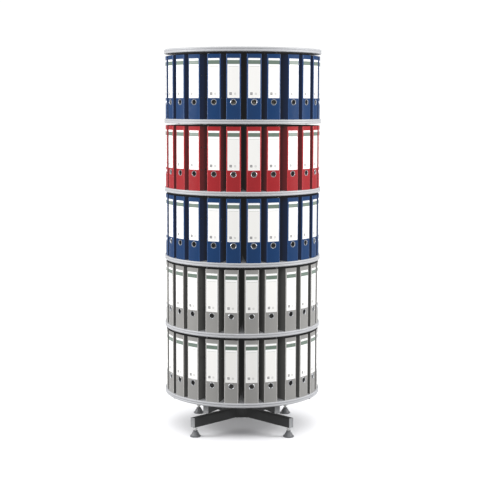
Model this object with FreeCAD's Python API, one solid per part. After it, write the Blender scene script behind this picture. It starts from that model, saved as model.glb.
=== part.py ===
import FreeCAD, Part
import math
import os

from FreeCAD import Vector

# A floor-standing rotary filing column: five round tiers that turn by themselves on one fixed
# steel column, which stands on a cross-shaped foot. Each tier carries a ring of lever-arch files
# behind sheet-steel dividers. Millimetres and degrees, +Z up. The origin is on the floor, on the
# column's axis. Angles are counted from the front (-Y) towards +X.

# ---- the column of discs ----
tier_count = 5
disc_radius = 405.0
disc_thickness = 22.0
lowest_underside = 190.0
tier_turns = (-0.4, -0.4, 0.9, 0.8, 0.8)

# ---- column, collars and thrust washers ----
column_radius = 30.0
column_wall = 2.5
column_start = 50.0
running_gap = 0.05
washer_across_flats = 84.0
washer_thickness = 4.0
collar_across_flats = 80.0
collar_height = 16.0

# ---- what carries each disc ----
sleeve_across_flats = 76.0
sleeve_drop = 66.0
seat_gap = 0.3
strap_width = 30.0
strap_thickness = 4.0
strap_setback = 6.0

# ---- the star of tubes below the lowest disc, and the floor cross ----
tube_width = 30.0
tube_height = 50.0
tube_wall = 2.5
tube_plug_thickness = 3.0
tube_plug_depth = 12.0
star_overhang = 12.0
cross_overhang = 20.0
cross_underside = 50.0
arm_count = 4
hub_radius = 52.0
hub_underside = 48.0
hub_chamfer = 5.0

# ---- levelling feet ----
foot_circle_radius = 337.0
foot_radius = 28.0
foot_height = 31.0
foot_neck_radius = 12.0
stud_radius = 6.0
stud_end_gap = 0.3
nut_height = 10.0
nut_across_flats = 19.0

# ---- dividers ----
sector_count = 6
divider_start = 62.0
divider_setback = 48.0
divider_thickness = 1.5
divider_top_gap = 4.0
divider_foot_width = 8.0
divider_foot_length = 80.0
divider_foot_setback = 16.0
edge_strip_width = 8.0
edge_strip_depth = 4.0

# ---- lever-arch files ----
files_per_sector = 4
file_spacing = 14.5
file_height = 318.0
file_headroom = 12.0
file_spine_width = 72.0
file_setback = 7.0
file_gap = 2.75
file_depth = 285.0
file_board = 2.4
grip_hole_radius = 11.0
grip_hole_height = 85.0

# ---- worked out from the above ----
sector_angle = 360.0 / sector_count
clear_height = file_height + file_headroom
tier_pitch = clear_height + disc_thickness
top_underside = lowest_underside + tier_count * tier_pitch
top_face = top_underside + disc_thickness
sleeve_bore = column_radius + running_gap
washer_drop = sleeve_drop + washer_thickness
collar_drop = washer_drop + collar_height
hub_top = lowest_underside - collar_drop
file_spine_distance = disc_radius - file_setback
file_fore_distance = file_spine_distance - file_depth
file_fore_edge_width = 2 * file_fore_distance * math.tan(math.radians(file_spacing / 2)) - file_gap
divider_height = clear_height - strap_thickness - divider_top_gap
divider_reach = file_spine_distance - divider_setback
strap_reach = divider_reach - strap_setback
star_reach = divider_reach + star_overhang
cross_reach = foot_circle_radius + cross_overhang
divider_turn = sector_angle / 2
arm_turn = 360.0 / arm_count / 2

os.makedirs("parts", exist_ok=True)


def underside(level):
    """Height of a disc's underside; level 1 is the lowest tier, tier_count + 1 the top disc."""
    return lowest_underside + (level - 1) * tier_pitch


def save(node, solids):
    """Write one node, either a single solid or a group of separate ones."""
    shape = solids[0] if len(solids) == 1 else Part.makeCompound(solids)
    shape.exportStep(f"parts/{node}.step")


def turned(shape, angle):
    """A copy of a shape made at the front, turned about the column's axis towards +X."""
    copy = shape.copy()
    copy.rotate(Vector(0, 0, 0), Vector(0, 0, 1), angle)
    return copy


def pattern(shape, count, first_angle):
    """Equal copies of a shape all the way round the column."""
    return [turned(shape, first_angle + i * 360.0 / count) for i in range(count)]


def hexagon(across_flats, bottom, height):
    """A hexagonal bar on the column's axis, with a flat towards each divider."""
    corner = across_flats / 2 / math.cos(math.pi / 6)
    corners = []
    for i in range(6):
        turn = math.radians(60 * i + 90)
        corners.append((corner * math.cos(turn), corner * math.sin(turn)))
    return extruded(corners, bottom, height)


def bored(shape, radius, bottom, height):
    """Cut a round hole up the column's axis."""
    return shape.cut(Part.makeCylinder(radius, height, Vector(0, 0, bottom)))


def revolved(outline):
    """Turn a closed outline of (radius, height) points about the Z axis."""
    points = [Vector(r, 0, z) for r, z in outline]
    face = Part.Face(Part.makePolygon(points + points[:1]))
    return face.revolve(Vector(0, 0, 0), Vector(0, 0, 1), 360)


def extruded(outline, bottom, height):
    """Raise a closed outline of (x, y) points from one height."""
    points = [Vector(x, y, bottom) for x, y in outline]
    face = Part.Face(Part.makePolygon(points + points[:1]))
    return face.extrude(Vector(0, 0, height))


def front_box(width, start, end, bottom, height):
    """A bar that runs outward to the front, from one distance to another off the axis."""
    return Part.makeBox(width, end - start, height, Vector(-width / 2, -end, bottom))


# ---------------------------------------------------------------- discs


def disc(bottom):
    """A round board, keyed by its hexagonal hole to the sleeve that turns it."""
    board = Part.makeCylinder(disc_radius, disc_thickness, Vector(0, 0, bottom))
    return board.cut(hexagon(sleeve_across_flats + 2 * seat_gap, bottom, disc_thickness))


# ---------------------------------------------------------------- supports and bearings


def sleeve(level, bore, top):
    """The hexagonal hub that holds a disc on the column."""
    bottom = underside(level) - sleeve_drop
    return bored(hexagon(sleeve_across_flats, bottom, top - bottom), bore, bottom, top - bottom)


def spider(level, bore, top):
    """A sleeve with flat straps welded to its sides, one under each divider of the disc above."""
    strap = front_box(
        strap_width,
        sleeve_across_flats / 2,
        strap_reach,
        underside(level) - strap_thickness,
        strap_thickness,
    )
    return [sleeve(level, bore, top)] + pattern(strap, sector_count, divider_turn)


def thrust_washer(level):
    """The plastic pad that carries a tier's weight on its collar."""
    bottom = underside(level) - washer_drop
    return bored(hexagon(washer_across_flats, bottom, washer_thickness), column_radius, bottom, washer_thickness)


def collar(level):
    """The clamp block under a thrust washer."""
    bottom = underside(level) - collar_drop
    return bored(hexagon(collar_across_flats, bottom, collar_height), column_radius, bottom, collar_height)


# ---------------------------------------------------------------- tubes


def tube_arm(start, reach, bottom):
    """A rectangular tube from one distance off the axis to another, open at both ends."""
    end = reach - tube_plug_thickness
    outer = front_box(tube_width, start, end, bottom, tube_height)
    bore_width = tube_width - 2 * tube_wall
    inner = front_box(bore_width, start, end, bottom + tube_wall, tube_height - 2 * tube_wall)
    return outer.cut(inner)


def tube_plug(reach, bottom):
    """The plastic stopper in a tube's outer end: a cover plate and a tongue inside the tube."""
    plate_start = reach - tube_plug_thickness
    plate = front_box(tube_width, plate_start, reach, bottom, tube_height)
    tongue = front_box(
        tube_width - 2 * tube_wall,
        plate_start - tube_plug_depth,
        plate_start,
        bottom + tube_wall,
        tube_height - 2 * tube_wall,
    )
    return plate.fuse(tongue)


def star():
    """The lowest tier's carrier: its sleeve with six tubes welded on, one under each divider."""
    arm = tube_arm(sleeve_across_flats / 2, star_reach, lowest_underside - tube_height)
    top = lowest_underside + disc_thickness
    return [sleeve(1, sleeve_bore, top)] + pattern(arm, sector_count, divider_turn)


# ---------------------------------------------------------------- base


def base_cross():
    """The floor cross: a round boss that the column stands in, with four tubes welded round it."""
    outline = [
        (column_radius, hub_underside),
        (hub_radius - hub_chamfer, hub_underside),
        (hub_radius, hub_underside + hub_chamfer),
        (hub_radius, hub_top),
        (column_radius, hub_top),
    ]
    arm = tube_arm(0, cross_reach, cross_underside)
    root = Part.makeCylinder(hub_radius, tube_height, Vector(0, 0, cross_underside))
    return [revolved(outline)] + pattern(arm.cut(root), arm_count, arm_turn)


def foot_nut():
    """The hexagon nut welded under an arm, which the stud turns in."""
    bottom = cross_underside - nut_height
    nut = bored(hexagon(nut_across_flats, bottom, nut_height), stud_radius + running_gap, bottom, nut_height)
    nut.translate(Vector(0, -foot_circle_radius, 0))
    return nut


def foot_pad():
    """A moulded cone that stands on the floor under one arm."""
    outline = [
        (0, 0),
        (foot_radius, 0),
        (foot_neck_radius, foot_height),
        (0, foot_height),
    ]
    pad = revolved(outline)
    pad.translate(Vector(0, -foot_circle_radius, 0))
    return pad


def levelling_stud():
    """The threaded rod that stands on a foot pad and turns in the nut under the arm."""
    height = cross_underside - stud_end_gap - foot_height
    return Part.makeCylinder(stud_radius, height, Vector(0, -foot_circle_radius, foot_height))


# ---------------------------------------------------------------- dividers


def divider_blade(floor):
    """A folded sheet: an upright wall that stands on its own screwed foot."""
    wall_end = divider_reach - edge_strip_depth
    wall = front_box(divider_thickness, divider_start, wall_end, floor, divider_height)
    foot = Part.makeBox(
        divider_foot_width,
        divider_foot_length,
        divider_thickness,
        Vector(-divider_thickness / 2, divider_foot_setback - divider_reach, floor),
    )
    return wall.fuse(foot).removeSplitter()


def divider_edge(floor):
    """The pale strip that closes a divider's outer edge."""
    start = divider_reach - edge_strip_depth
    return front_box(edge_strip_width, start, divider_reach, floor, divider_height)


# ---------------------------------------------------------------- files


def file_outline():
    """Corners of a closed file seen from above: wide at its spine, pressed thin at its fore edge."""
    wide = file_spine_width / 2
    narrow = file_fore_edge_width / 2
    fore = file_fore_distance
    return [
        (-narrow, -fore),
        (-wide, -file_spine_distance),
        (wide, -file_spine_distance),
        (narrow, -fore),
    ]


def full_file(floor):
    """A file that stays in its place, closed and full of paper."""
    return extruded(file_outline(), floor, file_height)


def file_cover(floor):
    """An empty file's folded board: a flat spine and two covers that close towards the column."""
    (left, fore), (outer_left, spine), _, _ = file_outline()
    slope = (outer_left - left) / file_depth
    across = file_board * math.hypot(1, slope)
    left_inside = left + across
    spine_inside = outer_left + across - slope * file_board
    outline = file_outline() + [
        (-left_inside, fore),
        (-spine_inside, spine + file_board),
        (spine_inside, spine + file_board),
        (left_inside, fore),
    ]
    return extruded(outline, floor, file_height)


def pulled_file(floor):
    """The file that slides out of each tier, with the finger hole through its spine."""
    hole = Part.makeCylinder(
        grip_hole_radius,
        2 * file_board,
        Vector(0, -file_spine_distance - file_board / 2, floor + grip_hole_height),
        Vector(0, 1, 0),
    )
    return file_cover(floor).cut(hole)


def file_angles():
    """Where the files of a tier stand: four to a sector, close together between dividers."""
    angles = []
    for sector in range(sector_count):
        for place in range(files_per_sector):
            offset = place - (files_per_sector - 1) / 2
            angles.append(sector * sector_angle + offset * file_spacing)
    return angles


# ---------------------------------------------------------------- assembly

save("base_cross", base_cross())
save("arm_end_plugs", pattern(tube_plug(cross_reach, cross_underside), arm_count, arm_turn))
save("foot_nuts", pattern(foot_nut(), arm_count, arm_turn))
save("foot_pads", pattern(foot_pad(), arm_count, arm_turn))
for number, stud in enumerate(pattern(levelling_stud(), arm_count, arm_turn), 1):
    save(f"levelling_stud_{number}", [stud])

column = Part.makeCylinder(column_radius, top_underside - column_start, Vector(0, 0, column_start))
column = bored(column, column_radius - column_wall, column_start, top_underside - column_start)
save("column_tube", [column])
save("top_spider", spider(tier_count + 1, column_radius, top_underside))
save("top_disc", [Part.makeCylinder(disc_radius, disc_thickness, Vector(0, 0, top_underside))])
save("clamp_collars", [collar(level) for level in range(1, tier_count + 1)])
save("thrust_washers", [thrust_washer(level) for level in range(1, tier_count + 1)])

star_plug = tube_plug(star_reach, lowest_underside - tube_height)
for level in range(1, tier_count + 1):
    turn = tier_turns[level - 1]
    floor = underside(level) + disc_thickness
    first_divider = divider_turn + turn
    save(f"disc_{level}", [turned(disc(underside(level)), turn)])
    if level == 1:
        save("star", [turned(piece, turn) for piece in star()])
        save("star_end_plugs", pattern(star_plug, sector_count, first_divider))
    else:
        pieces = spider(level, sleeve_bore, floor)
        save(f"spider_{level}", [turned(piece, turn) for piece in pieces])
    save(f"dividers_{level}", pattern(divider_blade(floor), sector_count, first_divider))
    save(f"divider_edges_{level}", pattern(divider_edge(floor), sector_count, first_divider))
    angles = file_angles()
    slot_angle = angles.pop(files_per_sector // 2)
    save(f"files_{level}", [turned(full_file(floor), angle + turn) for angle in angles])
    save(f"pulled_file_{level}", [turned(pulled_file(floor), slot_angle + turn)])
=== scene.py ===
import math
import random

import bmesh
import bpy
from mathutils import Matrix, Vector


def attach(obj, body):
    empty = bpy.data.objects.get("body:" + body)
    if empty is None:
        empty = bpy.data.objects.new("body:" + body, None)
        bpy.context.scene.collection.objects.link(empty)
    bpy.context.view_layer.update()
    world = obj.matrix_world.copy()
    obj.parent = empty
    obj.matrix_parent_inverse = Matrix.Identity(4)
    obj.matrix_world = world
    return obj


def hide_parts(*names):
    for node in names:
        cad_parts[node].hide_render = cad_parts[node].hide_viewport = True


# The dressed model of a rotary filing column. Lengths are metres, angles degrees. Angles round the
# column are counted from the front (-Y) towards +X. Pieces are made at the front and then set out.

# ---- sizes that the frame gives ----
TIERS = (1, 2, 3, 4, 5)
TOP_LEVEL = 6
LEVEL_TURN = {1: -0.4, 2: -0.4, 3: 0.9, 4: 0.8, 5: 0.8, TOP_LEVEL: 0.0}
LOWEST_UNDERSIDE = 0.190
TIER_PITCH = 0.352
BOARD_THICKNESS = 0.022
DISC_RADIUS = 0.405
SECTORS = 6
SECTOR_ANGLE = 60

# ---- board and its rim moulding ----
BOARD_RADIUS = 0.4029
BOARD_EDGE = 0.0004
BOARD_SEGMENTS = 192
SLEEVE_HOLE_FLATS = 0.0766
BORE_SEGMENTS = 96
BEAD_DEPTH = 0.0019
BEAD_HALF_HEIGHT = 0.0050
BEAD_STEPS = 6
MOULDING_LIP = 0.0004
MOULDING_SEAT = 0.0005

# ---- lever-arch files ----
TIER_COLOURS = {1: "grey", 2: "grey", 3: "blue", 4: "red", 5: "blue"}
FILES_PER_SECTOR = 4
FILE_SPACING = 14.5
FILE_HEIGHT = 0.318
SPINE_WIDTH = 0.072
SPINE_DISTANCE = 0.398
COVER_DEPTH = 0.285
FORE_EDGE_WIDTH = 0.0260
COVER_BOARD = 0.0024
LOOSE_ANGLE = 0.22
LOOSE_SETBACK = 0.0014
LOOSE_SEED = 8
SPINE_CORNER = 0.0042
CREASE_SETBACK = 0.012
CREASE_WIDTH = 0.003
CREASE_DEPTH = 0.0007
GRIP_HEIGHT = 0.085
GRIP_RADIUS = 0.0126
GRIP_SEGMENTS = 20
EYELET_RADIUS = 0.0148
EYELET_DEPTH = 0.0010
EYELET_WALL = (0.0002, 0.0008)
LABEL_WIDTH = 0.059
LABEL_HEIGHT = 0.192
LABEL_TOP_GAP = 0.021
LABEL_BOTTOM = FILE_HEIGHT - LABEL_TOP_GAP - LABEL_HEIGHT
POCKET_BORDER = 0.0022
POCKET_STEP = 0.0004
POCKET_DEPTH = 0.0005
PAPER_SETBACK = 0.048
PAPER_BOTTOM = 0.002
PAPER_DEPTH = 0.210
PAPER_HEIGHT = 0.297
PAPER_SIDE_GAP = 0.0012
LEVER_PLATE_START = 0.010
LEVER_PLATE_DEPTH = 0.050
LEVER_PLATE_HEIGHT = 0.165
LEVER_PLATE_THICKNESS = 0.0009
LEVER_PLATE_BORDER = 0.004
LEVER_LOW = (-0.021, -0.021, -0.010)
LEVER_HIGH = (-0.017, -0.012, 0.072)
LEVER_FLARE = 1.6
HINGE_RADIUS = 0.003
HINGE_LENGTH = 0.018
ARCH_PIVOT_SETBACK = 0.034
ARCH_POST_SETBACK = 0.060
ARCH_SPACING = 0.080
ARCH_HEIGHT = 0.030
ARCH_RADIUS = 0.0018
RIVET_RADIUS = 0.0042
RIVET_HEIGHT = 0.0008
RIVET_SETBACKS = (0.018, 0.052)
RIVET_SPACING = 0.110

# ---- dividers ----
DIVIDER_REACH = 0.350
EDGE_STRIP_WIDTH = 0.008
EDGE_STRIP_DEPTH = 0.004
DIVIDER_HEIGHT = 0.322
DIVIDER_THICKNESS = 0.0015
DIVIDER_SCREWS = (0.264, 0.324)
DIVIDER_SCREW_OFFSET = 0.0038
DIVIDER_SCREW_HEAD = (0.0028, 0.0016)

# ---- carriers ----
TUBE_WIDTH = 0.030
TUBE_HEIGHT = 0.050
TUBE_CORNER = 0.0030
PLUG_THICKNESS = 0.003
PLUG_CORNER = 0.0022
PLUG_DISH = 0.0004
WELD_LEG = 0.004
WELD_ROOT = 0.006
SCREW_HEAD = (0.0045, 0.0022)
SLEEVE_FLATS = 0.076
SLEEVE_DROP = 0.066
SLEEVE_BORE = 0.03005
STRAP_REACH = 0.344
STRAP_THICKNESS = 0.004
STRAP_CORNER = 0.006
STRAP_SCREWS = (0.100, 0.215, 0.330)
STAR_START = 0.038
STAR_REACH = 0.362
STAR_UNDERSIDE = 0.140
STAR_SCREWS = (0.110, 0.320)
CROSS_START = 0.050
CROSS_REACH = 0.357
CROSS_UNDERSIDE = 0.050
ARM_ANGLES = (45, 135, 225, 315)

# ---- hub, column, collars ----
HUB_RADIUS = 0.052
HUB_BOTTOM = 0.048
HUB_TOP = 0.104
COLUMN_RADIUS = 0.030
COLUMN_WALL = 0.0025
COLUMN_START = 0.050
COLUMN_CLEARANCE = 0.0001
COLLAR_FLATS = 0.080
COLLAR_HEIGHT = 0.016
COLLAR_SLIT = 0.002
HEXAGON_EDGE = 0.001
CLAMP_SCREW_SEAT = 0.008
CLAMP_SCREW_DISTANCE = 0.037
CLAMP_POCKET_RADIUS = 0.005
CLAMP_HEAD_RADIUS = 0.0042
CLAMP_HEAD_LENGTH = 0.005
CLAMP_SOCKET_RADIUS = 0.0024
CLAMP_SOCKET_DEPTH = 0.0025
WASHER_FLATS = 0.084
WASHER_THICKNESS = 0.004
WASHER_CLEARANCE = 0.0002
WASHER_EDGE = 0.0008

# ---- feet ----
FOOT_CIRCLE = 0.337
FOOT_RADIUS = 0.028
FOOT_HEIGHT = 0.031
FOOT_NECK = 0.012
RIB_THICKNESS = 0.0024
RIB_SETBACK = 0.0025
RIB_BOTTOM = 0.004
RIB_TOP = 0.0235
RIBS = 12
STUD_RADIUS = 0.006
STUD_TOP = 0.0497
THREAD_PITCH = 0.00175
THREAD_DEPTH = 0.0009
NUT_BOTTOM = 0.040
NUT_TOP = 0.050
NUT_FLATS = 0.019

# ---- camera ----
CAMERA_DISTANCE = 6.3
CAMERA_HEIGHT = 1.70
CAMERA_LENS = 87.11
CAMERA_PITCH = 5.868
CAMERA_ROLL = -0.130
CAMERA_SHIFT = (0.0146, -0.045)

# ---- studio ----
FLOOR_REACH = 30.0
BACKDROP_REACH = 40.0
BACKDROP_GLOW = 1.05
SKY_BELOW = 0.10
SKY_LEVEL = 0.25
SKY_ABOVE = 1.0
SKY_STRENGTH = 1.65
SHADOW_VEIL = 0.0135
# A softbox has its place, the height it points at, its size and its power.
SIDE_SOFTBOX = ((4.0, -0.5, 2.2), 1.2, (1.6, 2.6), 174)
FRONT_SOFTBOX = ((0.0, -3.3, 2.9), 0.6, (2.4, 1.6), 55)
WHITE = (1.0, 1.0, 1.0, 1.0)
BLACK = (0.0, 0.0, 0.0, 1.0)

# ---- working tolerances ----
NEAR = 0.0001
OVERLAP = 0.0002
MERGE_DISTANCE = 0.000001
CUT_MERGE_DISTANCE = 0.00002
FACING = 0.9


# ---- modelling helpers ----


def deselect_all():
    """Leave edit mode and drop the selection."""
    if bpy.context.object and bpy.context.object.mode != "OBJECT":
        bpy.ops.object.mode_set(mode="OBJECT")
    bpy.ops.object.select_all(action="DESELECT")


def choose(piece):
    """Make one piece the only selected and the active one."""
    deselect_all()
    piece.select_set(True)
    bpy.context.view_layer.objects.active = piece


def settle(piece):
    """Put a piece's place, turn and size into its mesh."""
    choose(piece)
    bpy.ops.object.transform_apply(location=True, rotation=True, scale=True)


def open_mesh(piece):
    """Go into edit mode on one piece."""
    choose(piece)
    bpy.ops.object.mode_set(mode="EDIT")


def close_mesh():
    bpy.ops.object.mode_set(mode="OBJECT")


def pick(kind, test):
    """In edit mode, select just the vertices, edges or faces that pass a test."""
    bpy.ops.mesh.select_mode(type=kind)
    bpy.ops.mesh.select_all(action="DESELECT")
    mesh = bmesh.from_edit_mesh(bpy.context.object.data)
    items = {"VERT": mesh.verts, "EDGE": mesh.edges, "FACE": mesh.faces}[kind]
    for item in items:
        if test(item):
            item.select_set(True)
    bmesh.update_edit_mesh(bpy.context.object.data)


def middle(item):
    """The middle of an edge or face."""
    points = [corner.co for corner in item.verts]
    return sum(points, Vector()) / len(points)


def looks_forward(face):
    return face.normal.y < -FACING


def runs_outwards(edge):
    return abs((edge.verts[0].co - edge.verts[1].co).y) > NEAR


def upright_at(x, y):
    """A test for the upright edges at a place and its mirror image."""
    return lambda edge: abs(abs(middle(edge).x) - x) < NEAR and abs(middle(edge).y - y) < NEAR


def scale_points(piece, test, factors, centre=(0, 0, 0)):
    """Bring the points that pass a test nearer to a centre, or take them further off."""
    open_mesh(piece)
    pick("VERT", test)
    bpy.ops.transform.resize(value=factors, center_override=centre)
    close_mesh()
    return piece


def bevel_edges(piece, test, offset, segments):
    """Round the edges that pass a test."""
    open_mesh(piece)
    pick("EDGE", test)
    bpy.ops.mesh.bevel(offset=offset, segments=segments, affect="EDGES")
    close_mesh()
    return piece


def inset_faces(piece, test, *steps):
    """Inset the faces that pass a test, once for every (thickness, depth)."""
    open_mesh(piece)
    pick("FACE", test)
    for thickness, depth in steps:
        bpy.ops.mesh.inset(thickness=thickness, depth=depth)
    close_mesh()
    return piece


def close_seams(distance=MERGE_DISTANCE):
    """In edit mode, merge points that meet and point the faces outwards."""
    bpy.ops.mesh.select_all(action="SELECT")
    bpy.ops.mesh.remove_doubles(threshold=distance)
    bpy.ops.mesh.normals_make_consistent(inside=False)


def block(low, high):
    """A box between two corners."""
    deselect_all()
    bpy.ops.mesh.primitive_cube_add(size=1)
    piece = bpy.context.object
    piece.scale = [b - a for a, b in zip(low, high)]
    piece.location = [(a + b) / 2 for a, b in zip(low, high)]
    settle(piece)
    return piece


def lathe(outline, segments, ring=False):
    """Turn an outline of (radius, height) points about the Z axis; a ring closes on itself."""
    deselect_all()
    if ring:
        outline = [*outline, outline[0]]
    radius, height = outline[0]
    bpy.ops.mesh.primitive_circle_add(vertices=segments, radius=radius, location=(0, 0, height))
    piece = bpy.context.object
    settle(piece)
    open_mesh(piece)
    bpy.ops.mesh.select_all(action="SELECT")
    if not ring:
        bpy.ops.mesh.edge_face_add()
        pick("EDGE", lambda edge: True)
    for next_radius, next_height in outline[1:]:
        rise = (0, 0, next_height - height)
        bpy.ops.mesh.extrude_edges_move(TRANSFORM_OT_translate={"value": rise})
        factor = next_radius / radius
        bpy.ops.transform.resize(value=(factor, factor, 1), center_override=(0, 0, next_height))
        radius, height = next_radius, next_height
    if not ring:
        bpy.ops.mesh.edge_face_add()
    close_seams()
    close_mesh()
    return piece


def apply_modifier(piece, kind, **values):
    """Add a modifier, set its values and apply it."""
    choose(piece)
    modifier = piece.modifiers.new(kind.lower(), kind)
    for key, value in values.items():
        setattr(modifier, key, value)
    bpy.ops.object.modifier_apply(modifier=modifier.name)
    return piece


def round_edges(piece, width, segments=2, angle=30):
    """Bevel every edge sharper than an angle."""
    limit = {"limit_method": "ANGLE", "angle_limit": math.radians(angle)}
    return apply_modifier(piece, "BEVEL", width=width, segments=segments, **limit)


def cut_away(piece, cutter, operation="DIFFERENCE"):
    """Cut one piece out of another, or keep what they share, and throw the cutter away."""
    apply_modifier(piece, "BOOLEAN", operation=operation, solver="EXACT", object=cutter)
    throw_away(cutter)
    return piece


def bar_between(radius, start, end, vertices):
    """A round or many-sided bar from one point to another."""
    deselect_all()
    run = Vector(end) - Vector(start)
    bpy.ops.mesh.primitive_cylinder_add(vertices=vertices, radius=radius, depth=run.length)
    piece = bpy.context.object
    turn = run.to_track_quat("Z", "Y").to_matrix().to_4x4()
    piece.data.transform(Matrix.Translation((Vector(start) + Vector(end)) / 2) @ turn)
    return piece


def hexagon_bar(flats, bottom, top, edge=0.0):
    """A six-sided bar on the Z axis with a corner towards the front, its edges broken."""
    corner_radius = flats / 2 / math.cos(math.pi / 6)
    bar = bar_between(corner_radius, (0, 0, bottom), (0, 0, top), 6)
    return round_edges(bar, edge) if edge else bar


def bored(piece, radius):
    """Open a round hole up the column's axis."""
    return cut_away(piece, bar_between(radius, (0, 0, -0.1), (0, 0, 2.1), BORE_SEGMENTS))


def smooth(piece, angle=35):
    """Shade the curved faces smooth and keep the corners crisp."""
    choose(piece)
    bpy.ops.object.shade_smooth_by_angle(angle=math.radians(angle))
    return piece


def shifted(piece, x=0.0, y=0.0, z=0.0):
    """Move a piece's mesh."""
    piece.data.transform(Matrix.Translation((x, y, z)))
    return piece


def turned(piece, angle, axis="Z"):
    """Turn a piece's mesh about an axis through the origin."""
    piece.data.transform(Matrix.Rotation(math.radians(angle), 4, axis))
    return piece


def set_copy(piece, angle=0.0, rise=0.0, setback=0.0):
    """A copy with its own mesh, pushed back at the front, turned about the column and raised."""
    copy = piece.copy()
    copy.data = piece.data.copy()
    bpy.context.scene.collection.objects.link(copy)
    return shifted(turned(shifted(copy, y=setback), angle), z=rise)


def throw_away(*pieces):
    for piece in pieces:
        bpy.data.objects.remove(piece)


def joined(pieces):
    """Make one piece of several."""
    deselect_all()
    for piece in pieces:
        piece.select_set(True)
    bpy.context.view_layer.objects.active = pieces[0]
    if len(pieces) > 1:
        bpy.ops.object.join()
    return pieces[0]


def ring_of(piece, angles, rise=0.0, distances=(0.0,)):
    """Turn a piece into copies at every angle round the column and every distance further out."""
    seats = [(angle, rise, -distance) for distance in distances for angle in angles]
    ring = joined([set_copy(piece, *seat) for seat in seats])
    throw_away(piece)
    return ring


def unroll(piece, spread):
    """Give every face corner the U and V that a function makes of its place."""
    layer = piece.data.uv_layers.active
    for loop in piece.data.loops:
        layer.data[loop.index].uv = spread(piece.data.vertices[loop.vertex_index].co)
    return piece


# ---- finishes ----

finishes = {}

SLOTS = {
    "melamine": "pale_board",
    "rim_moulding": "pale_board",
    "dark_coat": "dark_steel",
    "nickel": "bright_steel",
    "zinc": "bright_steel",
    "pale_plastic": "pale_plastic",
    "grey_plastic": "grey_plastic",
    "white_plastic": "white_plastic",
}


def srgb(red, green, blue):
    """A colour given as it looks on a screen, 0 to 255, as linear values."""
    linear = []
    for value in (red, green, blue):
        share = value / 255
        linear.append(share / 12.92 if share <= 0.04045 else ((share + 0.055) / 1.055) ** 2.4)
    return (*linear, 1.0)


def scaled(colour, factor):
    return (*[min(1.0, value * factor) for value in colour[:3]], 1.0)


def add_node(tree, kind, inputs, **settings):
    """A node whose inputs, by name or number, take a value or another node's output."""
    node = tree.nodes.new(kind)
    for key, value in settings.items():
        setattr(node, key, value)
    for key, value in inputs.items():
        if isinstance(value, bpy.types.NodeSocket):
            tree.links.new(value, node.inputs[key])
        else:
            node.inputs[key].default_value = value
    return node


class Finish:
    """A material with its node tree, and the few steps that every finish is built from.

    A noise is given as (scale, detail), with a stretch, a roughness and whether it lies on the
    unrolled surface where they are needed.
    """

    def __init__(self, name, roughness, metallic=0.0, specular=0.5):
        self.material = bpy.data.materials.new(name)
        self.material.use_nodes = True
        self.tree = self.material.node_tree
        self.shader = self.tree.nodes["Principled BSDF"].inputs
        self.shader["Roughness"].default_value = roughness
        self.shader["Metallic"].default_value = metallic
        self.shader["Specular IOR Level"].default_value = specular
        coordinates = self.node("ShaderNodeTexCoord", {})
        self.solid = coordinates.outputs["Object"]
        self.flat = coordinates.outputs["UV"]
        self.colour = None
        self.height = None
        finishes[name] = self.material

    def node(self, kind, inputs, **settings):
        return add_node(self.tree, kind, inputs, **settings)

    def noise(self, scale, detail, stretch=None, roughness=0.5, unrolled=False):
        vector = self.flat if unrolled else self.solid
        if stretch:
            vector = self.node("ShaderNodeMapping", {"Vector": vector, "Scale": stretch}).outputs["Vector"]
        inputs = {"Vector": vector, "Scale": scale, "Detail": detail, "Roughness": roughness}
        return self.node("ShaderNodeTexNoise", inputs).outputs["Fac"]

    def cells(self, scale):
        inputs = {"Vector": self.solid, "Scale": scale}
        return self.node("ShaderNodeTexVoronoi", inputs).outputs["Distance"]

    def split(self, source):
        return self.node("ShaderNodeSeparateXYZ", {"Vector": source}).outputs

    def math(self, operation, first, second):
        node = self.node("ShaderNodeMath", {0: first, 1: second}, operation=operation)
        return node.outputs["Value"]

    def between(self, value, low, high):
        """1 where a value lies between two bounds, otherwise 0."""
        above = self.math("GREATER_THAN", value, low)
        below = self.math("LESS_THAN", value, high)
        return self.math("MULTIPLY", above, below)

    def span(self, value, low, high, new_low=0.0, new_high=1.0):
        """A value carried over from one pair of bounds to another."""
        inputs = {"Value": value, "From Min": low, "From Max": high, "To Min": new_low, "To Max": new_high}
        return self.node("ShaderNodeMapRange", inputs).outputs["Result"]

    def blend(self, share, first, second):
        """One colour, changing to another where the share is 1."""
        inputs = {"Factor": share, 6: first, 7: second}
        return self.node("ShaderNodeMix", inputs, data_type="RGBA").outputs[2]

    def paint(self, colour):
        self.colour = colour
        self.tree.links.new(colour, self.shader["Base Color"])

    def mottle(self, noise, low, high, first, second):
        """Paint with two tones that a noise mixes."""
        self.paint(self.blend(self.span(self.noise(*noise), low, high), first, second))

    def overlay(self, share, colour):
        """Lay another colour over the paint where the share is 1."""
        self.paint(self.blend(share, self.colour, colour))

    def cloud(self, noise, low, high, most, colour):
        """Lay another colour over the paint in soft patches."""
        self.overlay(self.span(self.noise(*noise), low, high, 0.0, most), colour)

    def gloss(self, noise, low, high):
        """Let the roughness wander between two bounds."""
        rough = self.span(self.noise(*noise), 0.3, 0.7, low, high)
        self.tree.links.new(rough, self.shader["Roughness"])

    def emboss(self, pattern, depth, strength):
        """Raise a noise, or cells of one scale, by a depth in metres; calls add up."""
        height = self.noise(*pattern) if isinstance(pattern, tuple) else self.cells(pattern)
        inputs = {"Height": height, "Distance": depth, "Strength": strength}
        if self.height:
            inputs["Normal"] = self.height
        self.height = self.node("ShaderNodeBump", inputs).outputs["Normal"]
        self.tree.links.new(self.height, self.shader["Normal"])


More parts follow.
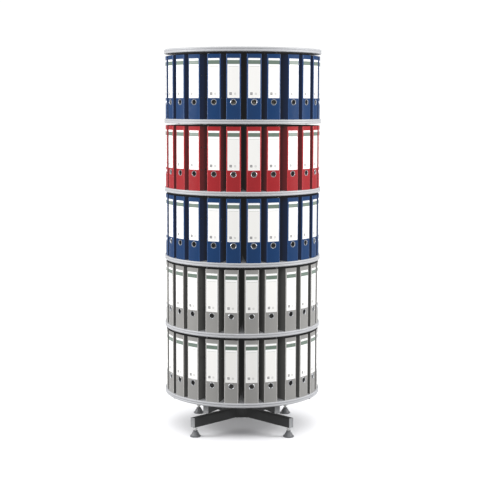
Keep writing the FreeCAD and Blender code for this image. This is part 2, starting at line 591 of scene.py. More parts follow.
def melamine():
    """Pale grey laminate with a fine pearl texture and faint handling marks."""
    finish = Finish("melamine", 0.42)
    finish.mottle((900, 3), 0.35, 0.65, srgb(152, 153, 156), srgb(162, 163, 165))
    finish.cloud((7, 5), 0.3, 0.75, 0.5, srgb(145, 146, 150))
    finish.gloss((60, 4), 0.36, 0.50)
    finish.emboss((1400, 2), 0.00012, 0.5)


def rim_moulding():
    """Extruded plastic edging: slightly glossy, with drawn lines and a butt joint at the back."""
    finish = Finish("rim_moulding", 0.42, specular=0.3)
    drawn = (40, 3, (1, 1, 60))
    finish.mottle(drawn, 0.3, 0.7, srgb(154, 155, 158), srgb(166, 167, 170))
    x, y, _ = finish.split(finish.solid)
    joint = finish.between(x, -0.0004, 0.0004)
    back = finish.math("GREATER_THAN", y, 0.0)
    finish.overlay(finish.math("MULTIPLY", joint, back), srgb(70, 70, 72))
    finish.gloss((25, 4), 0.36, 0.50)
    finish.emboss(drawn, 0.00006, 0.4)


def cover_board(name, colour, light):
    """Plastic-covered board with a fine linen embossing, a little paler where it is handled."""
    finish = Finish(name, 0.46, specular=0.06)
    finish.mottle((1100, 2), 0.3, 0.7, scaled(colour, 0.93), scaled(colour, 1.06))
    finish.cloud((9, 4), 0.4, 0.8, 0.35, light)
    finish.gloss((45, 5), 0.38, 0.54)
    finish.emboss(900, 0.00025, 0.35)
    finish.emboss((3000, 2), 0.00008, 0.4)


def worn_and_highlit_edge(name, colour):
    """The folded corners of a cover, where the covering is stretched and rubbed paler; part of that paler
    colour is a painted highlight where the rounded edges catch the side light.
    """
    finish = Finish(name, 0.36, specular=0.3)
    finish.mottle((260, 5, None, 0.7), 0.42, 0.70, colour, scaled(colour, 1.55))
    finish.gloss((120, 4), 0.28, 0.48)
    finish.emboss((1600, 3), 0.0001, 0.4)


def cover_lining():
    """Grey lining paper inside the covers, with fibres."""
    finish = Finish("cover_lining", 0.85, specular=0.2)
    fibre = (420, 6, (1, 1, 3))
    finish.mottle(fibre, 0.35, 0.7, srgb(112, 114, 117), srgb(138, 139, 141))
    finish.emboss(fibre, 0.0001, 0.5)


def label_paper():
    """A printed blank label behind clear film: a colour band, a field with a rule and index boxes."""
    finish = Finish("label_paper", 0.55, specular=0.4)
    finish.mottle((600, 5), 0.35, 0.7, srgb(227, 227, 227), srgb(236, 236, 236))
    finish.cloud((14, 3), 0.45, 0.8, 0.5, srgb(232, 231, 227))
    across, up, _ = finish.split(finish.flat)
    top = LABEL_HEIGHT * 10
    prints = (
        ((-0.1, 0.7), (top - 0.285, top - 0.095), srgb(79, 96, 84)),
        ((0.04, 0.55), (0.03, top - 0.39), srgb(222, 221, 218)),
        ((0.04, 0.55), (top - 0.405, top - 0.39), srgb(160, 164, 158)),
        ((0.10, 0.215), (0.15, 0.27), srgb(104, 104, 106)),
        ((0.13, 0.185), (0.18, 0.24), srgb(160, 160, 160)),
        ((0.33, 0.42), (0.16, 0.25), srgb(168, 168, 166)),
        ((0.345, 0.405), (0.175, 0.235), srgb(206, 206, 203)),
    )
    for sides, ends, colour in prints:
        inside = finish.math("MULTIPLY", finish.between(across, *sides), finish.between(up, *ends))
        finish.overlay(inside, colour)
    finish.emboss((22, 2), 0.0006, 0.25)
    finish.shader["Coat Weight"].default_value = 0.35
    finish.shader["Coat Roughness"].default_value = 0.16


def pocket_film(name, colour):
    """The clear pocket's welded border, which shows the cover through it."""
    finish = Finish(name, 0.24, specular=0.3)
    finish.mottle((1500, 2), 0.3, 0.7, colour, scaled(colour, 1.25))
    finish.gloss((70, 3), 0.14, 0.30)
    finish.emboss(1300, 0.0002, 0.4)


def nickel():
    """Bright nickel plate with fine scratches."""
    finish = Finish("nickel", 0.26, metallic=1.0)
    scratch = (350, 6, (1, 1, 0.15))
    finish.mottle(scratch, 0.35, 0.7, srgb(132, 134, 137), srgb(176, 178, 181))
    finish.gloss(scratch, 0.20, 0.36)
    finish.emboss(scratch, 0.00004, 0.4)


def zinc():
    """Zinc plate with cloudy passivation."""
    finish = Finish("zinc", 0.34, metallic=1.0)
    finish.mottle((120, 5), 0.35, 0.7, srgb(168, 170, 172), srgb(200, 200, 196))
    finish.gloss((240, 4), 0.26, 0.48)
    finish.emboss((900, 3), 0.00006, 0.4)


def powder_coat(name, dark, light, roughness):
    """Baked powder paint with orange peel and slight dust."""
    finish = Finish(name, roughness, specular=0.22)
    finish.mottle((18, 6, None, 0.6), 0.45, 0.8, dark, light)
    finish.gloss((80, 4), roughness - 0.06, roughness + 0.10)
    finish.emboss((700, 2), 0.00025, 0.35)


def moulded_plastic(name, colour, roughness):
    """Spark-eroded moulding texture with a little flow variation."""
    finish = Finish(name, roughness)
    finish.mottle((40, 4), 0.3, 0.7, scaled(colour, 0.92), scaled(colour, 1.08))
    finish.gloss((150, 4), roughness - 0.08, roughness + 0.08)
    finish.emboss((1800, 2), 0.00015, 0.4)


def sheet_edges():
    """A block of filed sheets: thin uneven layers across the file."""
    finish = Finish("sheet_edges", 0.8, specular=0.25)
    layers = (26, 9, (1, 0.02, 0.02), 0.85, True)
    finish.mottle(layers, 0.35, 0.65, srgb(150, 147, 138), srgb(240, 239, 234))
    finish.emboss(layers, 0.0008, 0.7)


def studio_floor():
    """The plain pale floor, painted a little paler far away so that it meets the backdrop: that paler
    colour is painted light where the lamps fall short.
    """
    finish = Finish("studio_floor", 0.9, specular=0.0)
    finish.mottle((2, 2), 0.0, 1.0, srgb(228, 228, 230), srgb(231, 231, 233))
    x, y, _ = finish.split(finish.solid)
    distance_squared = finish.math("ADD", finish.math("MULTIPLY", x, x), finish.math("MULTIPLY", y, y))
    # Painted light: the colour grows paler from 2 m out to 5 m.
    finish.overlay(finish.span(distance_squared, 4.0, 25.0), srgb(248, 248, 248))


def studio_backdrop():
    """The evenly lit white behind everything."""
    finish = Finish("studio_backdrop", 1.0, specular=0.0)
    finish.shader["Base Color"].default_value = BLACK
    finish.shader["Emission Color"].default_value = WHITE
    finish.shader["Emission Strength"].default_value = BACKDROP_GLOW
    finish.material.cycles.emission_sampling = "NONE"


def make_finishes():
    """Every finish of the object and of the studio."""
    for finish in (melamine, rim_moulding, cover_lining, label_paper, nickel, zinc, sheet_edges):
        finish()
    studio_floor()
    studio_backdrop()
    powder_coat("dark_coat", srgb(34, 35, 36), srgb(44, 45, 47), 0.42)
    powder_coat("divider_coat", srgb(62, 63, 66), srgb(76, 77, 80), 0.55)
    moulded_plastic("pale_plastic", srgb(128, 129, 131), 0.5)
    moulded_plastic("grey_plastic", srgb(86, 87, 90), 0.45)
    moulded_plastic("white_plastic", srgb(228, 228, 222), 0.5)
    spines = {"blue": srgb(1, 44, 86), "red": srgb(140, 25, 31), "grey": srgb(134, 133, 131)}
    # The boards' colours are painted shade: darker copies of the spine colours that stand in for the shade
    # in the gaps between the files.
    boards = {"blue": srgb(14, 36, 70), "red": srgb(112, 34, 38), "grey": srgb(84, 84, 82)}
    for name, colour in spines.items():
        cover_board(f"{name}_spine", colour, scaled(colour, 1.18))
        cover_board(f"{name}_boards", boards[name], scaled(boards[name], 1.3))
        # The corners are painted paler: partly rubbed wear, partly a painted highlight along the rounded
        # edges.
        worn_and_highlit_edge(f"{name}_edge", scaled(colour, 1.35))
        pocket_film(f"{name}_film", scaled(colour, 1.2))


def dress(piece, *names):
    """Give a piece its finishes, in the order of its face indices."""
    slots = piece.data.materials
    for index, name in enumerate(names):
        if index < len(slots):
            slots[index] = finishes[name]
        else:
            slots.append(finishes[name])
    return piece


def place(name, piece, body, slot, *nodes):
    """Name a finished piece, the body it rides on and the plain solid it stands for; the slot is not used.
    """
    piece.name = name
    piece.data.name = name
    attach(piece, body)
    if nodes:
        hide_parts(*nodes)


def fit(name, piece, finish, body, *nodes):
    """Dress a piece in a single finish and place it."""
    place(name, dress(piece, finish), body, SLOTS[finish], *nodes)


# ---- levels and discs ----


def tier_underside(level):
    """Height of a disc's underside."""
    return LOWEST_UNDERSIDE + (level - 1) * TIER_PITCH


def tier_floor(level):
    return tier_underside(level) + BOARD_THICKNESS


def carrier(level):
    """The body of a level: the tiers turn and the top disc stands still."""
    return "base" if level == TOP_LEVEL else f"tier_{level}"


def divider_angles(level):
    """The six directions of a level's dividers, and of the straps or tubes below them."""
    return [(sector + 0.5) * SECTOR_ANGLE + LEVEL_TURN[level] for sector in range(SECTORS)]


def board(bottom, open_centre):
    """A round board, with the hexagonal hole that keys it to its sleeve."""
    inside = BOARD_RADIUS - BOARD_EDGE
    top = bottom + BOARD_THICKNESS
    outline = [
        (inside, bottom),
        (BOARD_RADIUS, bottom + BOARD_EDGE),
        (BOARD_RADIUS, top - BOARD_EDGE),
        (inside, top),
    ]
    piece = lathe(outline, BOARD_SEGMENTS)
    if open_centre:
        cut_away(piece, hexagon_bar(SLEEVE_HOLE_FLATS, bottom - 0.01, bottom + 0.05))
    return smooth(piece)


def moulding_outline(bottom):
    """Two rounded beads with a groove between them, on a flat back."""
    root = DISC_RADIUS - BEAD_DEPTH
    back = BOARD_RADIUS - MOULDING_SEAT
    outline = [(back, bottom + MOULDING_LIP)]
    for centre in (BOARD_THICKNESS * 0.25, BOARD_THICKNESS * 0.75):
        for step in range(BEAD_STEPS + 1):
            turn = math.pi * step / BEAD_STEPS
            height = bottom + centre - BEAD_HALF_HEIGHT * math.cos(turn)
            outline.append((root + BEAD_DEPTH * math.sin(turn), height))
    return [*outline, (back, bottom + BOARD_THICKNESS - MOULDING_LIP)]


def make_disc(level):
    """A disc's board and its edging."""
    bottom = tier_underside(level)
    node = "top_disc" if level == TOP_LEVEL else f"disc_{level}"
    plain = turned(board(bottom, level != TOP_LEVEL), LEVEL_TURN[level])
    fit(f"{node}_board", plain, "melamine", carrier(level), node)
    rim = smooth(lathe(moulding_outline(bottom), BOARD_SEGMENTS, ring=True), 50)
    fit(f"{node}_rim_moulding", rim, "rim_moulding", carrier(level))


# ---- one lever-arch file ----


def cover_slope():
    """How much one cover leans in for each metre behind the spine."""
    return (SPINE_WIDTH - FORE_EDGE_WIDTH) / 2 / COVER_DEPTH


def half_width(behind_spine):
    """Half the outside width of a file, some way behind its spine."""
    return SPINE_WIDTH / 2 - cover_slope() * behind_spine


def on_right_cover(setback, inset, height):
    """The place and lean of what sits on the right cover, some way behind the spine."""
    spot = Matrix.Translation((half_width(setback) - inset, -SPINE_DISTANCE + setback, height))
    return spot @ Matrix.Rotation(math.atan(cover_slope()), 4, "Z")


def file_cover():
    """One folded cover standing on height zero: spine, two creased boards, and the finger hole."""
    spine = -SPINE_DISTANCE
    fore = spine + COVER_DEPTH
    crease = spine + CREASE_SETBACK
    half = SPINE_WIDTH / 2
    piece = block((-half, spine, 0), (half, fore, FILE_HEIGHT))
    scale_points(piece, lambda point: point.co.y > fore - NEAR, (FORE_EDGE_WIDTH / SPINE_WIDTH, 1, 1))
    open_mesh(piece)
    pick("FACE", lambda face: abs(face.normal.z) > FACING or face.normal.y > FACING)
    bpy.ops.mesh.delete(type="FACE")
    for offset in (-CREASE_WIDTH, 0, CREASE_WIDTH):
        bpy.ops.mesh.select_all(action="SELECT")
        bpy.ops.mesh.bisect(plane_co=(0, crease + offset, 0), plane_no=(0, 1, 0))
    close_mesh()
    scale_points(piece, lambda point: abs(point.co.y - crease) < NEAR, (1 - CREASE_DEPTH / half, 1, 1))
    bevel_edges(piece, upright_at(half, spine), SPINE_CORNER, 3)
    for _ in ("boards", "lining", "corner", "spine"):
        piece.data.materials.append(None)
    apply_modifier(piece, "SOLIDIFY", thickness=COVER_BOARD, offset=-1, material_offset=1)
    hole = [(0, spine + side * 0.01, GRIP_HEIGHT) for side in (1, -1)]
    cut_away(piece, bar_between(GRIP_RADIUS, *hole, GRIP_SEGMENTS))
    mark_spine_corners(piece, spine)
    return smooth(piece, 40)


def mark_spine_corners(piece, spine):
    """The outside of the rounded corners takes the third material and the flat spine the fourth."""
    for face in piece.data.polygons:
        if face.center.y > spine + SPINE_CORNER or face.normal.y > -0.2:
            continue
        if abs(face.normal.x) > 0.2:
            face.material_index = 2
        elif face.center.y < spine + NEAR:
            face.material_index = 3


def label_pocket():
    """The label in its pocket: a thin plate whose inset middle, left selected, is the paper."""
    front = -SPINE_DISTANCE - POCKET_DEPTH
    top = LABEL_BOTTOM + LABEL_HEIGHT + POCKET_BORDER
    half = LABEL_WIDTH / 2 + POCKET_BORDER
    low = (-half, front, LABEL_BOTTOM - POCKET_BORDER)
    piece = block(low, (half, -SPINE_DISTANCE + OVERLAP, top))
    inset_faces(piece, looks_forward, (POCKET_BORDER - POCKET_STEP, 0), (POCKET_STEP, -POCKET_STEP / 2))
    for face in piece.data.polygons:
        face.material_index = 1 if face.select else 0
    return unroll(piece, lambda point: ((point.x + LABEL_WIDTH / 2) * 10, (point.z - LABEL_BOTTOM) * 10))


def eyelet():
    """The metal ring pressed into the finger hole."""
    outside, inside = [GRIP_RADIUS - inset for inset in EYELET_WALL]
    back = -COVER_BOARD - 0.0006
    outline = [
        (EYELET_RADIUS, 0.0),
        (EYELET_RADIUS - 0.0012, EYELET_DEPTH),
        (GRIP_RADIUS + 0.0010, EYELET_DEPTH),
        (inside, -OVERLAP),
        (inside, back),
        (outside, back),
        (outside, 0.0),
    ]
    piece = turned(lathe(outline, GRIP_SEGMENTS, ring=True), 90, "X")
    return smooth(shifted(piece, y=-SPINE_DISTANCE, z=GRIP_HEIGHT), 60)


def sheets():
    """The block of filed paper, pressed to a wedge between the covers."""
    near = half_width(PAPER_SETBACK) - COVER_BOARD - PAPER_SIDE_GAP
    far = half_width(PAPER_SETBACK + PAPER_DEPTH) - COVER_BOARD - PAPER_SIDE_GAP
    front = -SPINE_DISTANCE + PAPER_SETBACK
    back = front + PAPER_DEPTH
    piece = block((-near, front, PAPER_BOTTOM), (near, back, PAPER_BOTTOM + PAPER_HEIGHT))
    scale_points(piece, lambda point: point.co.y > front + NEAR, (far / near, 1, 1))
    round_edges(piece, 0.0012, 1)

    def across_and_along(point):
        width = near + (far - near) * (point.y - front) / PAPER_DEPTH
        return (point.x / width, point.y + point.z)

    return smooth(unroll(piece, across_and_along))


def pin(radius, length):
    """A round pin that stands on the origin and points to the left."""
    return bar_between(radius, (0, 0, 0), (-length, 0, 0), 12)


def arch():
    """One ring of the lever mechanism: a post, its fellow and the bow that joins them."""
    reach = (ARCH_POST_SETBACK - ARCH_PIVOT_SETBACK) / 2
    posts = [shifted(pin(ARCH_RADIUS, ARCH_HEIGHT), y=side * reach) for side in (1, -1)]
    deselect_all()
    bpy.ops.mesh.primitive_circle_add(
        vertices=12,
        radius=ARCH_RADIUS,
        fill_type="NGON",
        location=(-ARCH_HEIGHT, reach, 0),
        rotation=(0, math.radians(90), 0),
    )
    bow = bpy.context.object
    settle(bow)
    open_mesh(bow)
    bpy.ops.mesh.select_all(action="SELECT")
    bpy.ops.mesh.spin(steps=12, angle=math.pi, center=(-ARCH_HEIGHT, 0, 0), axis=(0, 0, 1))
    close_seams()
    close_mesh()
    return joined([*posts, bow])


def lever_plate():
    """The pressed base plate of the mechanism, its middle raised a little."""
    y, z = LEVER_PLATE_DEPTH / 2, LEVER_PLATE_HEIGHT / 2
    plate = block((-LEVER_PLATE_THICKNESS, -y, -z), (0, y, z))
    inset_faces(plate, lambda face: face.normal.x < -FACING, (LEVER_PLATE_BORDER, 0), (0.0006, 0.0003))
    return round_edges(plate, 0.0002, 1)


def lever():
    """The lever, wider at its free end, and the hinge it turns on."""
    hinge_line = (LEVER_LOW[1] + LEVER_HIGH[1]) / 2
    arm = block(LEVER_LOW, LEVER_HIGH)
    centre = (0, hinge_line, 0)
    scale_points(arm, lambda point: point.co.z > LEVER_HIGH[2] - NEAR, (1, LEVER_FLARE, 1), centre)
    round_edges(arm, 0.0014, 2)
    return [arm, shifted(pin(HINGE_RADIUS, HINGE_LENGTH), y=hinge_line)]


def lever_mechanism():
    """The clamp riveted inside the right cover: base plate, two arches and the lever."""
    plate_setback = LEVER_PLATE_START + LEVER_PLATE_DEPTH / 2
    arch_setback = (ARCH_PIVOT_SETBACK + ARCH_POST_SETBACK) / 2 - plate_setback
    arches = []
    for side in (-1, 1):
        arches.append(shifted(arch(), -LEVER_PLATE_THICKNESS, arch_setback, side * ARCH_SPACING / 2))
    clamp = joined([lever_plate(), *arches, *lever()])
    clamp.data.transform(on_right_cover(plate_setback, COVER_BOARD + OVERLAP, FILE_HEIGHT / 2))
    return smooth(clamp, 40)


def cover_rivets():
    """The four rivet heads that show on the outside of the right cover."""
    dome = [(RIVET_RADIUS, -OVERLAP), (RIVET_RADIUS, OVERLAP), (RIVET_RADIUS * 0.6, RIVET_HEIGHT)]
    head = smooth(turned(lathe(dome, 10), 90, "Y"), 60)
    rivets = []
    for setback in RIVET_SETBACKS:
        for side in (-1, 1):
            rivets.append(set_copy(head))
            height = FILE_HEIGHT / 2 + side * RIVET_SPACING / 2
            rivets[-1].data.transform(on_right_cover(setback, 0, height))
    throw_away(head)
    return joined(rivets)


# ---- files of a tier ----


def standing_angles():
    """Where a tier's files stand, and the third one of the front sector, which slides."""
    offsets = [(seat - 1.5) * FILE_SPACING for seat in range(FILES_PER_SECTOR)]
    angles = [sector * SECTOR_ANGLE + offset for sector in range(SECTORS) for offset in offsets]
    sliding = angles.pop(FILES_PER_SECTOR // 2)
    return angles, sliding


def file_dressing(colour):
    """The slot and the finishes of each part of a file; a cover's are boards, lining, corners, spine."""
    slot = f"{colour}_file"
    return {
        "cover": (slot, [f"{colour}_boards", "cover_lining", f"{colour}_edge", f"{colour}_spine"]),
        "label": (slot, [f"{colour}_film", "label_paper"]),
        "eyelet": ("bright_steel", ["nickel"]),
        "sheets": (slot, ["sheet_edges"]),
        "rivets": ("bright_steel", ["nickel"]),
        "lever": ("bright_steel", ["nickel"]),
    }


def make_files():
    """Every tier's standing files and its sliding one, in the tier's colour."""
    parts = {
        "cover": file_cover(),
        "label": label_pocket(),
        "eyelet": eyelet(),
        "sheets": sheets(),
        "rivets": cover_rivets(),
        "lever": lever_mechanism(),
    }
    for part, (_, names) in file_dressing("blue").items():
        dress(parts[part], *names)
    standing, sliding = standing_angles()
    chance = random.Random(LOOSE_SEED)
    for level in TIERS:
        floor = tier_floor(level)
        seats = []
        for angle in standing:
            loose_angle = angle + LEVEL_TURN[level] + chance.uniform(-LOOSE_ANGLE, LOOSE_ANGLE)
            seats.append((loose_angle, floor, chance.uniform(0, LOOSE_SETBACK)))
        homes = {
            f"files_{level}": (f"tier_{level}", seats),
            f"pulled_file_{level}": (f"pulled_file_{level}", [(sliding + LEVEL_TURN[level], floor)]),
        }
        for part, (slot, names) in file_dressing(TIER_COLOURS[level]).items():
            for node, (body, own_seats) in homes.items():
                if part == "lever" and own_seats == seats:
                    continue
                group = dress(joined([set_copy(parts[part], *seat) for seat in own_seats]), *names)
                place(f"{node}_{part}", group, body, slot, *([node] if part == "cover" else []))
    throw_away(*parts.values())


# ---- dividers ----


def dress_dividers():
    """The divider sheets keep their shape and take a finish in place of their plain colour."""
    for level in TIERS:
        dress(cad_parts[f"dividers_{level}"], "divider_coat")


def make_divider_fittings():
    """On each divider a pale strip with rounded corners at the outer edge, and two screws in the foot."""
    low = (-EDGE_STRIP_WIDTH / 2, -DIVIDER_REACH, 0)
    high = (EDGE_STRIP_WIDTH / 2, -DIVIDER_REACH + EDGE_STRIP_DEPTH, DIVIDER_HEIGHT)
    for level in TIERS:
        seats = (divider_angles(level), tier_floor(level))
        node = f"divider_edges_{level}"
        strips = ring_of(smooth(round_edges(block(low, high), 0.0012, 3)), *seats)
        fit(f"{node}_strips", strips, "pale_plastic", carrier(level), node)
        head = turned(screw_head(*DIVIDER_SCREW_HEAD), 180, "X")
        shifted(head, x=DIVIDER_SCREW_OFFSET, z=DIVIDER_THICKNESS)
        fit(f"dividers_{level}_screws", ring_of(head, *seats, DIVIDER_SCREWS), "zinc", carrier(level))


# ---- tubes, straps and screws ----


def tube_length(start, end, bottom, corner, segments):
    """A length of the rectangular section that runs out to the front."""
    half = TUBE_WIDTH / 2
    piece = block((-half, -end, bottom), (half, -start, bottom + TUBE_HEIGHT))
    return bevel_edges(piece, runs_outwards, corner, segments)


def tube(start, reach, bottom):
    """A rectangular tube with rolled corners."""
    return smooth(tube_length(start, reach - PLUG_THICKNESS, bottom, TUBE_CORNER, 4), 40)


def plug(reach, bottom):
    """A tube's end cap with a soft edge and a shallow dished face."""
    piece = tube_length(reach - PLUG_THICKNESS, reach, bottom, PLUG_CORNER, 3)
    inset_faces(piece, looks_forward, (PLUG_CORNER * 0.3, 0), (PLUG_CORNER * 0.4, -PLUG_DISH))
    return smooth(round_edges(piece, 0.0006, 2, 50), 40)


def weld_bead(distance, bottom, height):
    """A small fillet round the root of a tube or strap."""
    half = TUBE_WIDTH / 2 + WELD_LEG
    low = (-half, -distance - WELD_LEG, bottom - WELD_LEG / 2)
    piece = block(low, (half, -distance + WELD_ROOT, bottom + height))
    scale_points(piece, lambda point: point.co.y < -distance, (TUBE_WIDTH / 2 / half, 1, 1))
    return smooth(round_edges(piece, 0.0008, 2), 60)


def make_arms(name, body, angles, start, reach, bottom, tube_node, plug_node):
    """Tubes that run out from the middle, with their plugs and welds."""
    tubes = ring_of(tube(start, reach, bottom), angles)
    fit(f"{name}_tubes", tubes, "dark_coat", body, tube_node)
    fit(f"{name}_tube_plugs", ring_of(plug(reach, bottom), angles), "pale_plastic", body, plug_node)
    fit(f"{name}_welds", ring_of(weld_bead(start, bottom, TUBE_HEIGHT), angles), "dark_coat", body)


def screw_head(radius, height):
    """A pan head with a cross recess, on the origin and pointing down."""
    outline = [
        (radius, OVERLAP),
        (radius, -height * 0.45),
        (radius * 0.86, -height * 0.85),
        (radius * 0.5, -height),
    ]
    head = lathe(outline, 20)
    low = (-radius * 0.6, -radius * 0.11, -height * 1.2)
    high = (radius * 0.6, radius * 0.11, -height * 0.5)
    for turn in (0, 90):
        cut_away(head, turned(block(low, high), turn))
    return smooth(head, 40)


def make_screws_below(name, distances, level, height):
    """Screw heads on the underside of a level's straps or tubes."""
    heads = ring_of(screw_head(*SCREW_HEAD), divider_angles(level), height, distances)
    fit(name, heads, "zinc", carrier(level))


def sleeve(level, top):
    """The hexagonal hub that holds a disc on the column."""
    piece = hexagon_bar(SLEEVE_FLATS, tier_underside(level) - SLEEVE_DROP, top, HEXAGON_EDGE)
    return turned(smooth(bored(piece, SLEEVE_BORE)), LEVEL_TURN[level])


def strap(level):
    """A flat bar under a disc, rounded at its outer corners."""
    top = tier_underside(level)
    half = TUBE_WIDTH / 2
    piece = block((-half, -STRAP_REACH, top - STRAP_THICKNESS), (half, -STAR_START, top))
    bevel_edges(piece, upright_at(half, -STRAP_REACH), STRAP_CORNER, 4)
    return smooth(round_edges(piece, 0.0004, 1, 50))


def make_spider(level):
    """The sleeve under an upper disc, its six welded straps and the screws into the board."""
    node = "top_spider" if level == TOP_LEVEL else f"spider_{level}"
    sleeve_top = tier_underside(level) if level == TOP_LEVEL else tier_floor(level)
    lower_face = tier_underside(level) - STRAP_THICKNESS
    welded = (strap(level), weld_bead(STAR_START, lower_face, STRAP_THICKNESS))
    rings = [ring_of(piece, divider_angles(level)) for piece in welded]
    fit(f"{node}_frame", joined([sleeve(level, sleeve_top), *rings]), "dark_coat", carrier(level), node)
    make_screws_below(f"{node}_screws", STRAP_SCREWS, level, lower_face)


def make_star():
    """The tubes under the lowest disc, the screws through them and the sleeve they stand on."""
    size = (STAR_START, STAR_REACH, STAR_UNDERSIDE)
    make_arms("star", carrier(1), divider_angles(1), *size, "star", "star_end_plugs")
    make_screws_below("star_screws", STAR_SCREWS, 1, STAR_UNDERSIDE)
    fit("star_sleeve", sleeve(1, tier_floor(1)), "dark_coat", carrier(1))


def make_cross():
    """The floor cross: four tubes and the hub between them."""
    size = (CROSS_START, CROSS_REACH, CROSS_UNDERSIDE)
    make_arms("cross", "base", ARM_ANGLES, *size, "base_cross", "arm_end_plugs")
    outline = [
        (COLUMN_RADIUS, HUB_BOTTOM),
        (HUB_RADIUS - 0.006, HUB_BOTTOM),
        (HUB_RADIUS - 0.002, HUB_BOTTOM + 0.0016),
        (HUB_RADIUS, HUB_BOTTOM + 0.005),
        (HUB_RADIUS, HUB_TOP - 0.003),
        (HUB_RADIUS - 0.001, HUB_TOP - 0.001),
        (HUB_RADIUS - 0.003, HUB_TOP),
        (COLUMN_RADIUS, HUB_TOP),
    ]
    fit("cross_hub", smooth(lathe(outline, BORE_SEGMENTS, ring=True), 40), "dark_coat", "base")


# ---- column and collars ----


def make_column():
    """The fixed tube that everything turns on."""
    top = tier_underside(TOP_LEVEL)
    inside = COLUMN_RADIUS - COLUMN_WALL
    outside = COLUMN_RADIUS - COLUMN_CLEARANCE
    outline = [(inside, COLUMN_START), (outside, COLUMN_START), (outside, top), (inside, top)]
    wall = smooth(lathe(outline, BORE_SEGMENTS, ring=True))
    fit("column_tube_wall", wall, "dark_coat", "base", "column_tube")


def cross_bar(radius, start, end, vertices):
    """A bar from left to right on the line of a collar's screw."""
    line = (-CLAMP_SCREW_DISTANCE, COLLAR_HEIGHT / 2)
    return bar_between(radius, (start, *line), (end, *line), vertices)


def clamp_block():
    """A collar at height zero: slit at the front, with a pocket for its screw beside the slit."""
    piece = bored(hexagon_bar(COLLAR_FLATS, 0, COLLAR_HEIGHT, HEXAGON_EDGE), COLUMN_RADIUS)
    half = COLLAR_SLIT / 2
    cut_away(piece, block((-half, -0.06, -0.01), (half, -0.02, COLLAR_HEIGHT + 0.01)))
    return smooth(cut_away(piece, cross_bar(CLAMP_POCKET_RADIUS, CLAMP_SCREW_SEAT, COLLAR_FLATS / 2, 24)))


def clamp_screw():
    """The socket head that draws a collar tight."""
    face = CLAMP_SCREW_SEAT + CLAMP_HEAD_LENGTH
    head = round_edges(cross_bar(CLAMP_HEAD_RADIUS, CLAMP_SCREW_SEAT, face, 24), 0.0003, 1)
    return smooth(cut_away(head, cross_bar(CLAMP_SOCKET_RADIUS, face - CLAMP_SOCKET_DEPTH, 0.03, 6)))


def thrust_washer():
    """The plastic washer that a tier's sleeve turns on."""
    top = WASHER_THICKNESS - WASHER_CLEARANCE
    return smooth(bored(hexagon_bar(WASHER_FLATS, 0, top, WASHER_EDGE), COLUMN_RADIUS))


def make_collars():
    """Under every tier, a clamp collar on the column and the washer on it."""
    stacked = (
        (clamp_block(), COLLAR_HEIGHT, "clamp_collar_blocks", "dark_coat", "clamp_collars"),
        (clamp_screw(), COLLAR_HEIGHT, "clamp_collar_screws", "zinc"),
        (thrust_washer(), 0.0, "thrust_washer_rings", "white_plastic", "thrust_washers"),
    )
    for piece, drop, name, finish, *nodes in stacked:
        heights = [tier_underside(level) - SLEEVE_DROP - WASHER_THICKNESS - drop for level in TIERS]
        stack = joined([set_copy(piece, rise=height) for height in heights])
        fit(name, stack, finish, "base", *nodes)
        throw_away(piece)


# ---- feet ----


def foot_pad():
    """A moulded foot: a flat rim, a ribbed cone and a round neck."""
    outline = [
        (FOOT_RADIUS - 0.0015, 0.0),
        (FOOT_RADIUS, 0.0012),
        (FOOT_RADIUS, 0.0050),
        (FOOT_RADIUS - 0.0012, 0.0062),
        (FOOT_RADIUS - 0.0048, 0.0072),
        (FOOT_NECK + 0.0018, FOOT_HEIGHT - 0.0085),
        (FOOT_NECK, FOOT_HEIGHT - 0.0070),
        (FOOT_NECK, FOOT_HEIGHT - 0.0010),
        (FOOT_NECK - 0.0010, FOOT_HEIGHT),
    ]
    cone = smooth(lathe(outline, 48), 40)
    front = -FOOT_RADIUS + RIB_SETBACK
    rib = block((-RIB_THICKNESS / 2, front, RIB_BOTTOM), (RIB_THICKNESS / 2, 0, RIB_TOP))
    open_mesh(rib)
    pick("VERT", lambda point: point.co.z > RIB_TOP - NEAR and point.co.y < front + NEAR)
    bpy.ops.transform.translate(value=(0, -front - FOOT_NECK - 0.0022, 0))
    close_mesh()
    round_edges(rib, 0.0004, 1)
    return joined([cone, ring_of(rib, [360 / RIBS * number for number in range(RIBS)])])


def stud():
    """The threaded rod between a pad and its nut."""
    root = STUD_RADIUS - THREAD_DEPTH
    outline = []
    height = FOOT_HEIGHT
    while height < STUD_TOP - THREAD_PITCH:
        outline.append((root, height))
        outline.append((STUD_RADIUS, height + THREAD_PITCH * 0.4))
        outline.append((STUD_RADIUS, height + THREAD_PITCH * 0.6))
        height += THREAD_PITCH
    outline += [(root, height), (root, STUD_TOP)]
    return smooth(lathe(outline, 32), 30)


def nut():
    """A six-sided nut with chamfered corners."""
    piece = hexagon_bar(NUT_FLATS, NUT_BOTTOM, NUT_TOP)
    chamfer = [
        (NUT_FLATS / 2 - 0.0002, NUT_BOTTOM - 0.001),
        (NUT_FLATS / 2 + 0.0016, NUT_BOTTOM + 0.0012),
        (NUT_FLATS / 2 + 0.0016, NUT_TOP + 0.001),
    ]
    cut_away(piece, lathe(chamfer, 48), "INTERSECT")
    bore = STUD_RADIUS + 0.0001
    cut_away(piece, lathe([(bore, 0.03), (bore, 0.06)], 32))
    open_mesh(piece)
    close_seams(CUT_MERGE_DISTANCE)
    close_mesh()
    return smooth(piece, 30)


def make_feet():
    """Four levelling feet: pad, threaded stud and nut."""
    seats = (0.0, (FOOT_CIRCLE,))
    fit("levelling_pads", ring_of(foot_pad(), ARM_ANGLES, *seats), "grey_plastic", "base", "foot_pads")
    fit("arm_nuts", ring_of(nut(), ARM_ANGLES, *seats), "zinc", "base", "foot_nuts")
    for number, angle in enumerate(ARM_ANGLES, 1):
        node = f"levelling_stud_{number}"
        fit(f"{node}_thread", ring_of(stud(), [angle], *seats), "zinc", node, node)


# ---- studio ----


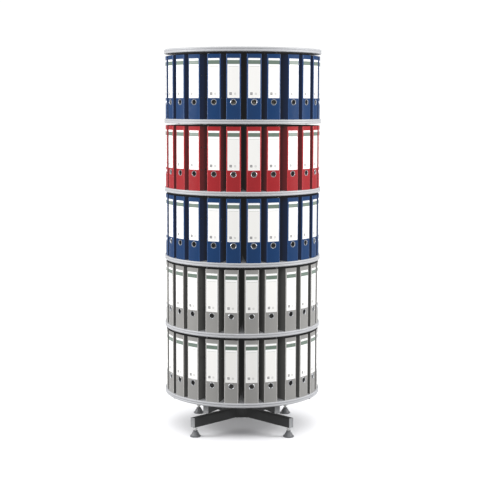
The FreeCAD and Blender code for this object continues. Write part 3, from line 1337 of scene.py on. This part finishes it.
def add_softbox(name, location, aim, size, power):
    """A large soft light that points at a spot on the column's axis."""
    deselect_all()
    bpy.ops.object.light_add(type="AREA", location=location)
    lamp = bpy.context.object
    lamp.name = name
    lamp.data.shape = "RECTANGLE"
    lamp.data.size, lamp.data.size_y = size
    lamp.data.energy = power
    direction = Vector((0, 0, aim)) - Vector(location)
    lamp.rotation_euler = direction.to_track_quat("-Z", "Y").to_euler()


def stage_new(name):
    """Dress the primitive just added as a part of the studio that throws no light on the object."""
    piece = bpy.context.object
    piece.name = name
    piece.visible_diffuse = False
    dress(piece, name)
    return piece


def add_floor():
    """The floor takes the shadows."""
    deselect_all()
    bpy.ops.mesh.primitive_plane_add(size=2 * FLOOR_REACH)
    stage_new("studio_floor")


def add_backdrop():
    """A white shell far behind everything."""
    deselect_all()
    bpy.ops.mesh.primitive_uv_sphere_add(segments=48, ring_count=24, radius=BACKDROP_REACH)
    backdrop = stage_new("studio_backdrop")
    backdrop.visible_glossy = False
    backdrop.visible_shadow = False


def add_surroundings():
    """Soft light from all round: bright overhead, dimmer at eye level and from below."""
    world = bpy.data.worlds.new("studio")
    world.use_nodes = True
    tree = world.node_tree
    direction = add_node(tree, "ShaderNodeTexCoord", {})
    split = add_node(tree, "ShaderNodeSeparateXYZ", {"Vector": direction.outputs["Generated"]})
    height = add_node(tree, "ShaderNodeMapRange", {"Value": split.outputs["Z"], "From Min": -1.0})
    ramp = add_node(tree, "ShaderNodeFloatCurve", {"Value": height.outputs["Result"]})
    curve = ramp.mapping.curves[0]
    curve.points[0].location = (0.0, SKY_BELOW)
    curve.points[1].location = (1.0, SKY_ABOVE)
    curve.points.new(0.5, SKY_LEVEL)
    for point in curve.points:
        point.handle_type = "VECTOR"
    ramp.mapping.update()
    inputs = {0: ramp.outputs["Value"], 1: SKY_STRENGTH}
    strength = add_node(tree, "ShaderNodeMath", inputs, operation="MULTIPLY")
    background = tree.nodes["Background"]
    tree.links.new(strength.outputs["Value"], background.inputs["Strength"])
    background.inputs["Color"].default_value = WHITE
    bpy.context.scene.world = world


def add_studio():
    """Pale floor, white backdrop, and a softbox on each side and high in front."""
    add_floor()
    add_backdrop()
    add_surroundings()
    (x, y, z), *rest = SIDE_SOFTBOX
    for side in (-1, 1):
        add_softbox("side_softbox", (side * x, y, z), *rest)
    add_softbox("front_softbox", *FRONT_SOFTBOX)


def add_camera():
    """The camera, in front at about head height."""
    deselect_all()
    bpy.ops.object.camera_add(location=(0, -CAMERA_DISTANCE, CAMERA_HEIGHT))
    camera = bpy.context.object
    camera.rotation_euler = (math.radians(90 - CAMERA_PITCH), math.radians(CAMERA_ROLL), 0)
    camera.data.lens = CAMERA_LENS
    camera.data.shift_x, camera.data.shift_y = CAMERA_SHIFT
    bpy.context.scene.camera = camera


def set_tone():
    """A plain view with the slight veil that a bright studio lays over the shadows."""
    view = bpy.context.scene.view_settings
    view.view_transform = "Standard"
    view.use_curve_mapping = True
    curves = view.curve_mapping
    curves.curves[3].points[0].location = (0.0, SHADOW_VEIL)
    curves.update()


# ---- the whole model ----

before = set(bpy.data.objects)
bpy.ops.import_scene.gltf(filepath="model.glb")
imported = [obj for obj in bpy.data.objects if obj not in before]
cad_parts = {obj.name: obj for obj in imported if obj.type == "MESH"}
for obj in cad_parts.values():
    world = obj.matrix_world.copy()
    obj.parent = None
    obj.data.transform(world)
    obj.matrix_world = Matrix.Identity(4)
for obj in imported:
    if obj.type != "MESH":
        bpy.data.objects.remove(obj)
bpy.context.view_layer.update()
make_finishes()
add_camera()
add_studio()
dress_dividers()
for level in (*TIERS, TOP_LEVEL):
    make_disc(level)
make_files()
make_divider_fittings()
make_column()
make_collars()
for level in (*TIERS[1:], TOP_LEVEL):
    make_spider(level)
make_star()
make_cross()
make_feet()
set_tone()
deselect_all()
